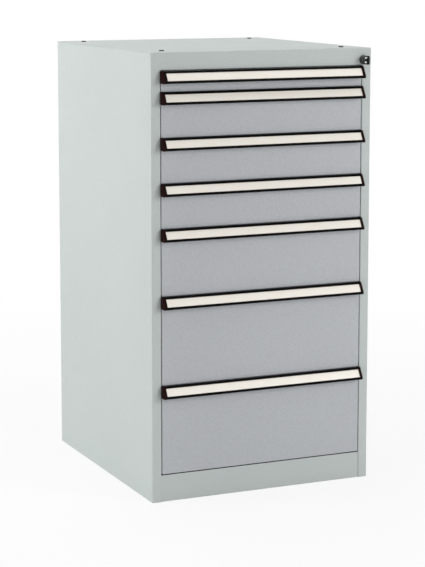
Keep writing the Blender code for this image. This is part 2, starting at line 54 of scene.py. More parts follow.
# Rounds corners: each one becomes the arc that touches both of its sides, and a point on it is the centre
# plus the even turn from the first radius to the last one
def cornerArcs(corner, before, after, radius, steps):
    before = (before - corner) / np.linalg.norm(before - corner, axis=1, keepdims=True)
    after = (after - corner) / np.linalg.norm(after - corner, axis=1, keepdims=True)
    half = np.arccos(np.clip((before * after).sum(1), -1, 1)) / 2
    radius = np.broadcast_to(np.asarray(radius, float), half.shape)
    middle = (before + after) / np.linalg.norm(before + after, axis=1, keepdims=True)
    centre = corner + middle * (radius / np.sin(half))[:, None]
    first = corner + before * (radius / np.tan(half))[:, None] - centre
    last = corner + after * (radius / np.tan(half))[:, None] - centre
    turn = (np.pi - 2 * half)[:, None, None]
    share = np.linspace(0, 1, steps + 1)[None, :, None]
    arc = (np.sin((1 - share) * turn) * first[:, None] + np.sin(share * turn) * last[:, None]) / np.sin(turn)
    return (centre[:, None] + arc).reshape(-1, 2)


# A closed outline with every corner rounded, between the one before it and the one after
def roundedOutline(corners, radii, steps):
    corner = np.asarray(corners, float)
    return cornerArcs(corner, np.roll(corner, 1, 0), np.roll(corner, -1, 0), radii, steps)


# Moves every side of a convex outline inwards by the same distance: a corner moves along the sum of its two sides'
# inward normals, by twice the distance over the square of that sum's length
def insetOutline(corners, distance):
    corner = np.asarray(corners, float)
    side = np.roll(corner, -1, 0) - corner
    area = (corner[:, 0] * np.roll(corner[:, 1], -1) - np.roll(corner[:, 0], -1) * corner[:, 1]).sum()
    inward = np.stack([-side[:, 1], side[:, 0]], 1) / np.linalg.norm(side, axis=1, keepdims=True) * np.sign(area)
    both = inward + np.roll(inward, 1, 0)
    return corner + both * (2 * distance / (both ** 2).sum(1))[:, None]


# The middle line of a bent sheet: its path, with every inner corner rounded
def bentLine(path, bend, steps):
    corner = np.asarray(path, float)
    arcs = cornerArcs(corner[1:-1], corner[:-2], corner[2:], bend, steps)
    return np.concatenate([corner[:1], arcs, corner[-1:]])


# The closed section of a bent sheet: its middle line, moved half a thickness to each side along the normals of the
# two runs that meet at a point
def sheetSection(path, thickness, bend, steps):
    line = bentLine(path, bend, steps)
    run = np.diff(line, axis=0)
    run /= np.linalg.norm(run, axis=1, keepdims=True)
    normal = np.stack([-run[:, 1], run[:, 0]], 1)
    both = np.concatenate([normal[:1], normal[1:] + normal[:-1], normal[-1:]])
    both *= (np.concatenate([[1], np.full(len(both) - 2, 2), [1]]) / (both ** 2).sum(1))[:, None]
    return np.concatenate([line + both * thickness / 2, (line - both * thickness / 2)[::-1]])


# Four corners for each cell between neighbouring rows and columns of a grid, whose points are numbered row by row:
# the row times the count of columns, plus the column
def gridCells(rows, columns, joinRows, joinColumns):
    row = np.arange(rows if joinRows else rows - 1)[:, None]
    column = np.arange(columns if joinColumns else columns - 1)[None, :]
    here, above = row * columns, (row + 1) % rows * columns
    beside = (column + 1) % columns
    corners = np.broadcast_arrays(here + column, here + beside, above + beside, above + column)
    return np.stack(corners, -1).reshape(-1, 4)


# Puts points and faces into a mesh. The faces of a closed part point outwards when its volume, the sum over its
# triangles of one corner times the cross product of the two others, is above zero; otherwise they are turned.
def meshPiece(name, parts, material, closed=True):
    points = []
    faces = []
    count = 0
    for place, cells in parts:
        place = np.asarray(place, float).reshape(-1, 3)
        if closed:
            fans = np.asarray([(cell[0], cell[k], cell[k + 1]) for cell in cells for k in range(1, len(cell) - 1)])
            first, second, third = place[fans].transpose(1, 0, 2)
            if (first * np.cross(second, third)).sum() < 0:
                cells = [tuple(cell)[::-1] for cell in cells]
        faces += [tuple(int(corner) + count for corner in cell) for cell in cells]
        points.append(place)
        count += len(place)
    mesh = bpy.data.meshes.new(name)
    mesh.from_pydata(np.concatenate(points).tolist(), [], faces)
    mesh.shade_smooth()
    mesh.set_sharp_from_angle(angle=sharpAngle)
    mesh.materials.append(material)
    piece = bpy.data.objects.new(name, mesh)
    bpy.context.scene.collection.objects.link(piece)
    return piece


# A closed skin through rings of points, with a flat face on the first and the last ring
def skinOf(rings):
    rings = np.asarray(rings, float)
    rows, columns = rings.shape[:2]
    cells = [tuple(cell) for cell in gridCells(rows, columns, False, True)]
    cells.append(tuple(range(columns))[::-1])
    cells.append(tuple(range((rows - 1) * columns, rows * columns)))
    return rings.reshape(-1, 3), cells


# A closed skin through rings of points that come back to the first ring
def tubeOf(rings):
    rings = np.asarray(rings, float)
    rows, columns = rings.shape[:2]
    return rings.reshape(-1, 3), [tuple(cell) for cell in gridCells(rows, columns, True, True)]


# Rings that set flat outlines at places along X, Y or Z: the place is that one coordinate of a point, and the
# outline gives the other two in their order
def along(axis, outlines, places):
    return np.stack([
        np.insert(np.asarray(outline, float), "xyz".index(axis), place, axis=1)
        for outline, place in zip(outlines, places)
    ])


# Radius and height turned round an axis: the point at an angle is the centre, plus the radius times the cosine
# and sine of the angle across, plus the height along the axis
def turnedRings(profile, centre, axis, steps):
    profile = np.asarray(profile, float)
    angle = np.linspace(0, 2 * np.pi, steps, endpoint=False)
    across = profile[:, :1] * np.cos(angle)
    up = profile[:, :1] * np.sin(angle)
    height = np.broadcast_to(profile[:, 1:], across.shape)
    order = {"z": (across, up, height), "y": (across, height, up)}[axis]
    return np.stack(order, -1) + np.asarray(centre, float)


# A screen colour as the linear one that Blender takes, by the usual curve: a dark level over 12.92, or else the
# level plus 0.055, over 1.055, to the power 2.4
def srgb(red, green, blue):
    level = np.array([red, green, blue]) / 255
    return (*np.where(level <= 0.04045, level / 12.92, ((level + 0.055) / 1.055) ** 2.4).tolist(), 1)


def newMaterial(name, roughness=0.5, metallic=0.0):
    made = bpy.data.materials.new(name)
    made.use_nodes = True
    shader = made.node_tree.nodes["Principled BSDF"]
    shader.inputs["Metallic"].default_value = metallic
    shader.inputs["Roughness"].default_value = roughness
    return made.node_tree, shader, made


# Noise on the piece's own coordinates, with cells of the given size in metres, drawn out along an axis if asked
def grain(tree, size, detail=2.0, stretch=(1, 1, 1)):
    place = tree.nodes.new("ShaderNodeTexCoord")
    scale = tree.nodes.new("ShaderNodeMapping")
    scale.inputs["Scale"].default_value = [1 / (size * share) for share in stretch]
    noise = tree.nodes.new("ShaderNodeTexNoise")
    noise.inputs["Scale"].default_value = 1
    noise.inputs["Detail"].default_value = detail
    tree.links.new(place.outputs["Object"], scale.inputs["Vector"])
    tree.links.new(scale.outputs["Vector"], noise.inputs["Vector"])
    return noise.outputs["Fac"]


# Takes a value from its own range, which for noise is about 0.3 to 0.7, to the range from low to high
def spread(tree, value, low, high, start=0.3, end=0.7):
    ranged = tree.nodes.new("ShaderNodeMapRange")
    ranged.inputs["From Min"].default_value = start
    ranged.inputs["From Max"].default_value = end
    ranged.inputs["To Min"].default_value = low
    ranged.inputs["To Max"].default_value = high
    tree.links.new(value, ranged.inputs["Value"])
    return ranged.outputs["Result"]


# A level times another level or a plain number
def times(tree, level, other):
    product = tree.nodes.new("ShaderNodeMath")
    product.operation = "MULTIPLY"
    tree.links.new(level, product.inputs[0])
    if isinstance(other, float):
        product.inputs[1].default_value = other
    else:
        tree.links.new(other, product.inputs[1])
    return product.outputs["Value"]


# One of the piece's own coordinates
def coordinate(tree, axis):
    place = tree.nodes.new("ShaderNodeTexCoord")
    split = tree.nodes.new("ShaderNodeSeparateXYZ")
    tree.links.new(place.outputs["Object"], split.inputs["Vector"])
    return split.outputs[axis]


# A colour, or a socket that gives one, times a level near one
def shaded(tree, colour, level):
    scaled = tree.nodes.new("ShaderNodeVectorMath")
    scaled.operation = "SCALE"
    if isinstance(colour, tuple):
        scaled.inputs[0].default_value = colour[:3]
    else:
        tree.links.new(colour, scaled.inputs[0])
    tree.links.new(level, scaled.inputs["Scale"])
    return scaled.outputs["Vector"]


# The first colour, with a share of the second; the node's colour sockets are inputs 6 and 7 and output 2
def blended(tree, share, first, second):
    mix = tree.nodes.new("ShaderNodeMix")
    mix.data_type = "RGBA"
    tree.links.new(share, mix.inputs["Factor"])
    mix.inputs[6].default_value = first
    mix.inputs[7].default_value = second
    return mix.outputs[2]


# Fine relief in the shading, from pairs of a height and its depth in metres
def raised(tree, shader, heights):
    normal = None
    for height, depth in heights:
        bump = tree.nodes.new("ShaderNodeBump")
        bump.inputs["Strength"].default_value = 1
        bump.inputs["Distance"].default_value = depth
        tree.links.new(height, bump.inputs["Height"])
        if normal:
            tree.links.new(normal, bump.inputs["Normal"])
        normal = bump.outputs["Normal"]
    tree.links.new(normal, shader.inputs["Normal"])


paintLook = {
    "casing": srgb(197, 204, 202),
    "front": srgb(189, 192, 196),
    "tray": srgb(164, 167, 170),
    "casingRoughness": 0.58,
    "frontRoughness": 0.48,
    "trayRoughness": 0.5,
    "specular": 0.22,
    "mottleSize": 0.0034,
    "casingMottle": 0.028,
    "frontMottle": 0.060,
    "trayMottle": 0.018,
    "cloudSize": 0.35,
    "cloudLevel": (0.988, 1.012),
    "markSize": 0.09,
    "markLevel": (0.90, 1.10),
    "glossSize": 0.004,
    "glossLevel": (0.95, 1.05),
    "peelSize": 0.0011,
    "peelDepth": 0.00007,
    "waveSize": 0.012,
    "waveDepth": 0.00004,
    # Painted shade: the shelf behind the plinth's bend is painted dark, in place of the shadow inside the gap under
    # the lowest drawer
    "shelfPaintedShade": 0.06,  # of the plinth's colour, past its bend
    "shelfShadeFade": (0.0012, 0.0018),  # how far behind the front plane the shelf grows dark
}


# Powder coat: fine orange peel, a faint mottle and soft handling marks in its gloss.
# Where a painted shade level is given, the paint falls to it behind the front plane: painted shade that stands in for
# the shadow inside a narrow gap.
def powderCoat(name, colour, roughness, mottle, paintedShade=None):
    look = paintLook
    tree, shader, made = newMaterial(name)
    shader.inputs["Specular IOR Level"].default_value = look["specular"]
    speck = spread(tree, grain(tree, look["mottleSize"], 3), 1 - mottle, 1 + mottle)
    cloud = spread(tree, grain(tree, look["cloudSize"]), *look["cloudLevel"])
    level = times(tree, speck, cloud)
    if paintedShade:
        start, end = (frontPlane + depth for depth in look["shelfShadeFade"])
        level = times(tree, level, spread(tree, coordinate(tree, "Y"), 1, paintedShade, start, end))
    tree.links.new(shaded(tree, colour, level), shader.inputs["Base Color"])
    marks = spread(tree, grain(tree, look["markSize"], 4), *look["markLevel"])
    gloss = spread(tree, grain(tree, look["glossSize"]), *look["glossLevel"])
    tree.links.new(times(tree, times(tree, marks, gloss), roughness), shader.inputs["Roughness"])
    raised(tree, shader, (
        (grain(tree, look["peelSize"]), look["peelDepth"]),
        (grain(tree, look["waveSize"], 1), look["waveDepth"]),
    ))
    return made


extrusionLook = {
    "lineSize": 0.0005,
    "lineStretch": 240,
    "lineLevel": (0.75, 1.3),
    "lineGloss": (0.85, 1.2),
    "lineDepth": 0.00003,
    "grainSize": 0.0006,
    "grainDepth": 0.00002,
}


# A black extrusion: fine drawing lines along its length under a satin coat
def blackExtrusion(name, colour, roughness, specular):
    look = extrusionLook
    tree, shader, made = newMaterial(name)
    shader.inputs["Specular IOR Level"].default_value = specular
    lines = grain(tree, look["lineSize"], 3, (look["lineStretch"], 1, 1))
    tree.links.new(shaded(tree, colour, spread(tree, lines, *look["lineLevel"])), shader.inputs["Base Color"])
    gloss = spread(tree, lines, *look["lineGloss"])
    tree.links.new(times(tree, gloss, roughness), shader.inputs["Roughness"])
    raised(tree, shader, ((lines, look["lineDepth"]), (grain(tree, look["grainSize"]), look["grainDepth"])))
    return made


plasticLook = {
    "toneSize": 0.006,
    "toneLevel": (0.8, 1.25),
    "glossSize": 0.004,
    "glossLevel": (0.8, 1.25),
    "sparkSize": 0.0009,
    "sparkDepth": 0.00004,
    "coatRoughness": 0.12,
}


# Moulded plastic: a fine spark texture, with a slow change in gloss where it cooled
def mouldedPlastic(name, colour, roughness, specular, coat=0.0):
    look = plasticLook
    tree, shader, made = newMaterial(name)
    shader.inputs["Specular IOR Level"].default_value = specular
    shader.inputs["Coat Weight"].default_value = coat
    shader.inputs["Coat Roughness"].default_value = look["coatRoughness"]
    tone = spread(tree, grain(tree, look["toneSize"], 3), *look["toneLevel"])
    tree.links.new(shaded(tree, colour, tone), shader.inputs["Base Color"])
    gloss = spread(tree, grain(tree, look["glossSize"], 3), *look["glossLevel"])
    tree.links.new(times(tree, gloss, roughness), shader.inputs["Roughness"])
    raised(tree, shader, ((grain(tree, look["sparkSize"], 3), look["sparkDepth"]),))
    return made


cardLook = {
    "patchSize": 0.05,
    "fibreSize": 0.0006,
    "fibreStretch": 5,
    "fibreLevel": (0.975, 1.02),
    "fibreDepth": 0.00002,
    "glossSize": 0.01,
    "roughness": (0.42, 0.56),
    "specular": 0.8,
    "coat": 1.0,
    "coatRoughness": 0.32,
}


# Card: fibres along the strip, slight yellowing in patches
def cardStock(name, colour, warm):
    look = cardLook
    tree, shader, made = newMaterial(name)
    shader.inputs["Specular IOR Level"].default_value = look["specular"]
    shader.inputs["Coat Weight"].default_value = look["coat"]
    shader.inputs["Coat Roughness"].default_value = look["coatRoughness"]
    fibre = grain(tree, look["fibreSize"], 4, (look["fibreStretch"], 1, 1))
    base = blended(tree, spread(tree, grain(tree, look["patchSize"], 3), 0, 1), colour, warm)
    tree.links.new(shaded(tree, base, spread(tree, fibre, *look["fibreLevel"])), shader.inputs["Base Color"])
    tree.links.new(spread(tree, grain(tree, look["glossSize"]), *look["roughness"]), shader.inputs["Roughness"])
    raised(tree, shader, ((fibre, look["fibreDepth"]),))
    return made


zincLook = {"tone": (0.86, 1.1), "roughness": (0.28, 0.46), "grainSize": 0.0007, "grainDepth": 0.00003}


# Zinc plate: flat crystals, each with its own tone and gloss
def zincPlate(name, colour, crystal):
    look = zincLook
    tree, shader, made = newMaterial(name, metallic=1)
    place = tree.nodes.new("ShaderNodeTexCoord")
    cells = tree.nodes.new("ShaderNodeTexVoronoi")
    cells.inputs["Scale"].default_value = 1 / crystal
    tree.links.new(place.outputs["Object"], cells.inputs["Vector"])
    tone = tree.nodes.new("ShaderNodeSeparateColor")
    tree.links.new(cells.outputs["Color"], tone.inputs["Color"])
    level = spread(tree, tone.outputs["Red"], *look["tone"], 0, 1)
    tree.links.new(shaded(tree, colour, level), shader.inputs["Base Color"])
    tree.links.new(spread(tree, tone.outputs["Green"], *look["roughness"], 0, 1), shader.inputs["Roughness"])
    raised(tree, shader, ((grain(tree, look["grainSize"], 3), look["grainDepth"]),))
    return made


chromeLook = {
    "hazeSize": 0.0012,
    "tone": (0.94, 1.04),
    "roughness": (0.10, 0.24),
    "lineSize": 0.0004,
    "lineDepth": 0.00001,
}


# Polished chrome with fine turning lines
def polishedChrome(name, colour):
    look = chromeLook
    tree, shader, made = newMaterial(name, metallic=1)
    haze = grain(tree, look["hazeSize"], 3)
    tree.links.new(shaded(tree, colour, spread(tree, haze, *look["tone"])), shader.inputs["Base Color"])
    tree.links.new(spread(tree, haze, *look["roughness"]), shader.inputs["Roughness"])
    raised(tree, shader, ((grain(tree, look["lineSize"]), look["lineDepth"]),))
    return made


# A powder coat with the values of one kind of piece
def paintOf(name, piece, paintedShade=None):
    look = paintLook
    return powderCoat(name, look[piece], look[piece + "Roughness"], look[piece + "Mottle"], paintedShade)


casingPaint = paintOf("Casing paint", "casing")
frontPaint = paintOf("Front paint", "front")
# Painted shade: the plinth's paint turns dark past its bend, where the shelf lies in the gap's shadow, so the gap
# under the lowest drawer reads dark
plinthPaintWithShade = paintOf("Plinth paint with painted shade", "casing", paintLook["shelfPaintedShade"])
trayPaint = paintOf("Tray paint", "tray")
runnerZinc = zincPlate("Runner zinc", srgb(188, 190, 192), crystal=0.006)
lockZinc = zincPlate("Lock zinc", srgb(172, 172, 170), crystal=0.0025)
handleBlack = blackExtrusion("Handle black", srgb(6, 5, 5), roughness=0.55, specular=0.04)
capPlastic = mouldedPlastic("Cap plastic", srgb(29, 9, 7), roughness=0.46, specular=0.05)
plugPlastic = mouldedPlastic("Plug plastic", srgb(24, 24, 24), roughness=0.75, specular=0.02)
lockPlastic = mouldedPlastic("Lock plastic", srgb(46, 47, 48), roughness=0.34, specular=0.4, coat=0.15)
keyPlastic = mouldedPlastic("Key plastic", srgb(12, 12, 13), roughness=0.40, specular=0.15)
labelCard = cardStock("Label card", srgb(255, 248, 235), warm=srgb(255, 250, 241))
lockChrome = polishedChrome("Lock chrome", srgb(226, 226, 224))


# Says which body a piece rides on and which nodes of the frame it replaces
def dressed(piece, body, *nodes):
    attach(piece, body)
    if nodes:
        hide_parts(*nodes)
    return piece


# A node of the frame that stays takes a finish
def dressNode(node, material):
    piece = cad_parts[node]
    piece.data.materials.clear()
    piece.data.materials.append(material)


for node in ("left_side_panel", "right_side_panel", "top_panel", "back_panel"):
    dressNode(node, casingPaint)
# The base panel takes the plinth paint, with painted shade on the shelf behind its bend
dressNode("base_panel", plinthPaintWithShade)
for node in ("left_runner_rack", "right_runner_rack", "lock_bar"):
    dressNode(node, runnerZinc)
for node in ("lock_nut", "lock_cam"):
    dressNode(node, lockZinc)
print("materials made")


jointLook = {"bend": 0.0015, "bendSteps": 2, "depth": 0.0032, "inset": 0.00002, "overlap": 0.0001}


# The painted weld between a stile and the band: a short length of the stile's own section, a hair inside its faces
def bandJoint(word):
    look = jointLook
    low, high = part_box(f"{word}_side_panel")
    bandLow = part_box("top_panel")[0].z
    left, right = low.x + look["inset"], high.x - look["inset"]
    front, rear = low.y + look["inset"], low.y + look["depth"]
    corners = [(left, front), (right, front), (right, rear), (left, rear)]
    outline = roundedOutline(corners, look["bend"] - look["inset"], look["bendSteps"])
    heights = [bandLow - clearance - look["overlap"], bandLow + look["bend"] + look["overlap"]]
    return dressed(meshPiece(f"{word}_joint", [skinOf(along("z", [outline] * 2, heights))], casingPaint), "casing")


# The plinth's left end is painted over too, as the photo shows a seam at its right end alone
def plinthJoint():
    look = jointLook
    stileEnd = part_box("left_side_panel")[1].x
    low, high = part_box("base_panel")
    left, right = stileEnd - look["bend"], stileEnd + look["bend"]
    front, rear = low.y + look["inset"], low.y + look["depth"]
    outline = [(left, front), (right, front), (right, rear), (left, rear)]
    rings = along("z", [outline] * 2, [low.z, high.z - look["bend"]])
    return dressed(meshPiece("plinth_joint", [skinOf(rings)], casingPaint), "casing")


for word in ("left", "right"):
    bandJoint(word)
plinthJoint()
print("joints painted over")


frontLook = {
    "sheet": 0.0012,
    "bend": 0.0016,
    "bendSteps": 8,
    "corner": 0.0030,
    "leastCorner": 0.0003,
    "cornerSteps": 6,
    "edgeDrop": 0.0036,
    "plinthLift": 0.0007,
}


# A pan folded back on four sides. Its rings run from the face, round the bend, along the sides, over the sheet's
# edge and back up the inside; a ring is a rectangle drawn in by the bend's sine and set back by its cosine.
# Between two drawers both edges lie a little lower than the solids', so the gap runs right above the black handle,
# and the lowest edge lies a little higher, which widens the gap over the plinth.
def drawerFront(number):
    look = frontLook
    low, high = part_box(f"drawer_{number}_front")
    bottom = low.z - (look["edgeDrop"] if number < drawerCount else -look["plinthLift"])
    top = high.z - (look["edgeDrop"] if number > 1 else 0)
    bend, sheet = look["bend"], look["sheet"]
    turn = np.linspace(0, np.pi / 2, look["bendSteps"] + 1)
    outer = np.column_stack([bend * (1 - np.sin(turn)), bend * (1 - np.cos(turn))])
    inner = np.column_stack([sheet + (bend - sheet) * (1 - np.sin(turn)), bend - (bend - sheet) * np.cos(turn)])[::-1]
    depth = high.y - low.y
    rings = np.concatenate([outer, [[0, depth]], [[sheet, depth]], inner])
    corners = np.array([(low.x, bottom), (high.x, bottom), (high.x, top), (low.x, top)])
    outlines = []
    for inset in rings[:, 0]:
        radius = max(look["corner"] - inset, look["leastCorner"])
        outlines.append(roundedOutline(insetOutline(corners, inset), radius, look["cornerSteps"]))
    skin = skinOf(along("y", outlines, low.y + rings[:, 1]))
    return dressed(meshPiece(f"front_{number}", [skin], frontPaint), f"drawer_{number}", f"drawer_{number}_front")


for number in drawerNumbers:
    drawerFront(number)
print("drawer fronts folded")


handleLook = {
    "ledge": 0.0055,
    "ledgeSheet": 0.0018,
    "flangeSheet": 0.0018,
    "flangeHeight": 0.0245,
    "wall": 0.0016,
    "topWall": 0.0038,
    "rimWall": 0.0012,
    "hook": 0.0010,
    "hookSheet": 0.0008,
    "tilt": math.radians(30),
    "labelWidth": 0.0204,
    "labelSheet": 0.0010,
    "corner": 0.0012,
    "edge": 0.00025,
    "cornerSteps": 5,
}
slotDepth = handleLook["labelSheet"] + 2 * clearance
rimHeight = slotDepth + handleLook["hookSheet"]
slotLength = handleLook["labelWidth"] + 2 * clearance


# A place on the slanted face: the slot's top corner, plus a distance down the slant and a distance out of it
def onSlant(down, out):
    look = handleLook
    sine, cosine = math.sin(look["tilt"]), math.cos(look["tilt"])
    start = np.array([
        look["ledge"] + look["topWall"] * sine - rimHeight * cosine,
        -look["topWall"] * cosine - rimHeight * sine,
    ])
    return start + down * np.array([sine, -cosine]) + out * np.array([cosine, sine])


# The slanted wall's inner face at a height
def insideSlant(height):
    start = onSlant(0, -handleLook["wall"])
    return onSlant((start[1] - height) / math.cos(handleLook["tilt"]), -handleLook["wall"])


# Forward distance and height from the handle's top, turned into Y and Z
def onFront(outline, rear, top):
    outline = np.asarray(outline, float)
    return np.column_stack([rear - outline[:, 0], top + outline[:, 1]])


# The extrusion's corners, each with its radius: over the ledge, round the label's hooked slot, down to the lip,
# and back up inside the slanted wall and the flange
def handleSection(height):
    look = handleLook
    edge = look["edge"]
    lip = onSlant(slotLength + look["rimWall"], rimHeight)
    corners = [
        ((0, 0), edge),
        ((look["ledge"], 0), look["corner"] / 2),
        (onSlant(look["hook"], rimHeight), edge),
        (onSlant(look["hook"], slotDepth), edge / 2),
        (onSlant(0, slotDepth), edge / 2),
        (onSlant(0, 0), edge / 2),
        (onSlant(slotLength, 0), edge / 2),
        (onSlant(slotLength, slotDepth), edge / 2),
        (onSlant(slotLength - look["hook"], slotDepth), edge / 2),
        (onSlant(slotLength - look["hook"], rimHeight), edge),
        (lip, look["corner"]),
        ((lip[0], -height), look["corner"] / 2),
        ((insideSlant(-height)[0], -height), edge),
        (insideSlant(-look["ledgeSheet"]), edge),
        ((look["flangeSheet"], -look["ledgeSheet"]), edge),
        ((look["flangeSheet"], -look["flangeHeight"]), edge),
        ((0, -look["flangeHeight"]), edge),
    ]
    places, radii = zip(*corners)
    return roundedOutline(places, radii, look["cornerSteps"])


def drawerHandle(number):
    low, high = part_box(f"drawer_{number}_handle")
    section = onFront(handleSection(high.z - low.z), high.y, high.z)
    handle = meshPiece(f"handle_{number}", [skinOf(along("x", [section] * 2, [low.x, high.x]))], handleBlack)
    return dressed(handle, f"drawer_{number}", f"drawer_{number}_handle")


labelLook = {
    "crown": 0.00022,
    "crownSteps": 13,
    "bare": (0.0052, 0.0021, 0.0032, 0.0028, 0.0024, 0.0030, 0.0022),  # drawer by drawer, how much of the slot shows
}


# The strip is slightly crowned: its face stands out by a shallow cosine arch across its width.
# Each one has slid a little to the right, so a bit of the slot shows at its left end.
def labelStrip(number):
    look = labelLook
    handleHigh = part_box(f"drawer_{number}_handle")[1]
    low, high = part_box(f"drawer_{number}_label")
    across = np.linspace(clearance, slotLength - clearance, look["crownSteps"])
    arch = look["crown"] * np.cos(np.linspace(-np.pi / 2, np.pi / 2, look["crownSteps"]))
    flat = clearance + handleLook["labelSheet"] - look["crown"]
    face = [onSlant(down, flat + rise) for down, rise in zip(across, arch)]
    back = [onSlant(across[-1], clearance), onSlant(across[0], clearance)]
    section = onFront(face + back, handleHigh.y, handleHigh.z)
    rings = along("x", [section] * 2, [low.x + look["bare"][number - 1], high.x])
    strip = meshPiece(f"label_{number}", [skinOf(rings)], labelCard)
    return dressed(strip, f"drawer_{number}", f"drawer_{number}_label")


capLook = {
    "margin": 0.0004,
    "corner": 0.0022,
    "topCorner": 0.0006,
    "footCorner": 0.0008,
    "leastCorner": 0.0003,
    "cornerSteps": 6,
    "edge": 0.0013,
    "edgeSteps": 8,
    "bevel": 0.00025,
    "tongue": 0.0070,
    "tongueCorner": 0.0004,
    "tongueSteps": 3,
}


# A cap takes the handle's outer shape, and its rings draw in along a quarter circle at the outer end.
# Its tongue fills the handle's hollow behind the slanted wall.
def endCap(number, side):
    look = capLook
    handleLow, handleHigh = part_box(f"drawer_{number}_handle")
    word = "left" if side < 0 else "right"
    node = f"drawer_{number}_{word}_cap"
    low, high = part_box(node)
    margin, edge = look["margin"], look["edge"]
    lip = onSlant(slotLength + handleLook["rimWall"], rimHeight)
    height = handleHigh.z - handleLow.z
    corners = np.array([
        (0, margin),
        (handleLook["ledge"] + margin, margin),
        (lip[0] + margin, lip[1] + margin),
        (lip[0] + margin, -height - margin),
        (0, -height - margin),
    ])
    radii = np.array([look["topCorner"], look["corner"], look["corner"], look["corner"], look["footCorner"]])
    inner = (handleHigh.x + clearance) if side > 0 else (handleLow.x - clearance)
    outer = high.x if side > 0 else low.x
    turn = np.linspace(0, np.pi / 2, look["edgeSteps"])
    insets = np.concatenate([[look["bevel"], 0], edge * (1 - np.cos(turn))])
    places = np.concatenate([[inner, inner + side * look["bevel"]], outer - side * edge * (1 - np.sin(turn))])
    outlines = []
    for inset in insets:
        rounding = np.maximum(radii - inset, look["leastCorner"])
        outline = roundedOutline(insetOutline(corners, inset), rounding, look["cornerSteps"])
        outlines.append(onFront(outline, handleHigh.y, handleHigh.z))
    shell = along("x", outlines, places)
    upper = insideSlant(-handleLook["ledgeSheet"] - 2 * look["corner"])
    lower = insideSlant(-handleLook["flangeHeight"])
    narrow = clearance / math.cos(handleLook["tilt"])
    tongue = onFront(roundedOutline([
        (handleLook["flangeSheet"] + clearance, upper[1]),
        (upper[0] - narrow, upper[1]),
        (lower[0] - narrow, lower[1]),
        (handleLook["flangeSheet"] + clearance, lower[1]),
    ], look["tongueCorner"], look["tongueSteps"]), handleHigh.y, handleHigh.z)
    tongueEnd = handleHigh.x - look["tongue"] if side > 0 else handleLow.x + look["tongue"]
    parts = [skinOf(shell), skinOf(along("x", [tongue] * 2, [tongueEnd, inner]))]
    return dressed(meshPiece(f"cap_{word}_{number}", parts, capPlastic), f"drawer_{number}", node)


for number in drawerNumbers:
    drawerHandle(number)
    labelStrip(number)
    endCap(number, -1)
    endCap(number, 1)
print("handles, labels and caps fitted")


trayLook = {
    "sheet": 0.0012,
    "bend": 0.0015,
    "bendSteps": 4,
    "rim": 0.0023,
    "endInset": 0.0010,
    "slotWidth": 0.0026,
    "slotHeight": 0.030,
    "slotPitch": 0.025,
    "rowPitch": 0.050,
    "overRail": 0.002,  # from the rail's top to the lowest slot's room
    "margin": 0.0055,
    "floorSlot": 0.014,
    "floorPitch": 0.050,
    "flatness": 0.0001,  # how near a wall's plane the cells of its slots lie
}
railLook = {
    "reach": 0.0135,  # past the tray's side
    "lift": 0.0020,  # over the tray's underside
    "height": 0.0174,
    "start": 0.024,  # behind the front plane
    "bend": 0.0015,
    "bendSteps": 5,
}
catchLook = {
    "front": 0.0493,  # behind the front plane
    "depth": 0.0040,
    "above": 0.0085,  # over the rail
    "height": 0.0060,
    "reach": 0.0127,  # past the tray's side
    "corner": 0.0004,
    "cornerSteps": 3,
}


# Even places of a slot over a length, with a bare margin at both ends: as many pitches as fit, on either side of
# the length's middle
def slotPlaces(low, high, pitch, margin):
    count = int((high - low - 2 * margin) // pitch)
    return (low + high) / 2 + (np.arange(count + 1) - count / 2) * pitch


# The rows of slots in a wall: one short row in a low wall, and a row every pitch in a high one
def slotRows(low, high):
    look = trayLook
    room = high - low - look["margin"]
    if room < look["rowPitch"]:
        return np.array([(low + high - look["margin"]) / 2]), room
    count = int((room - look["slotHeight"]) // look["rowPitch"])
    first = (low + high - look["margin"] - count * look["rowPitch"]) / 2
    return first + np.arange(count + 1) * look["rowPitch"], look["slotHeight"]


# Both edges of every slot: its place, less and plus half its size
def edgesOf(places, size):
    return np.concatenate([places - size / 2, places + size / 2])


# Which values lie in a slot, nearer to its place than half its size
def within(values, places, size):
    return (np.abs(values[:, None] - places[None, :]) < size / 2).any(1)


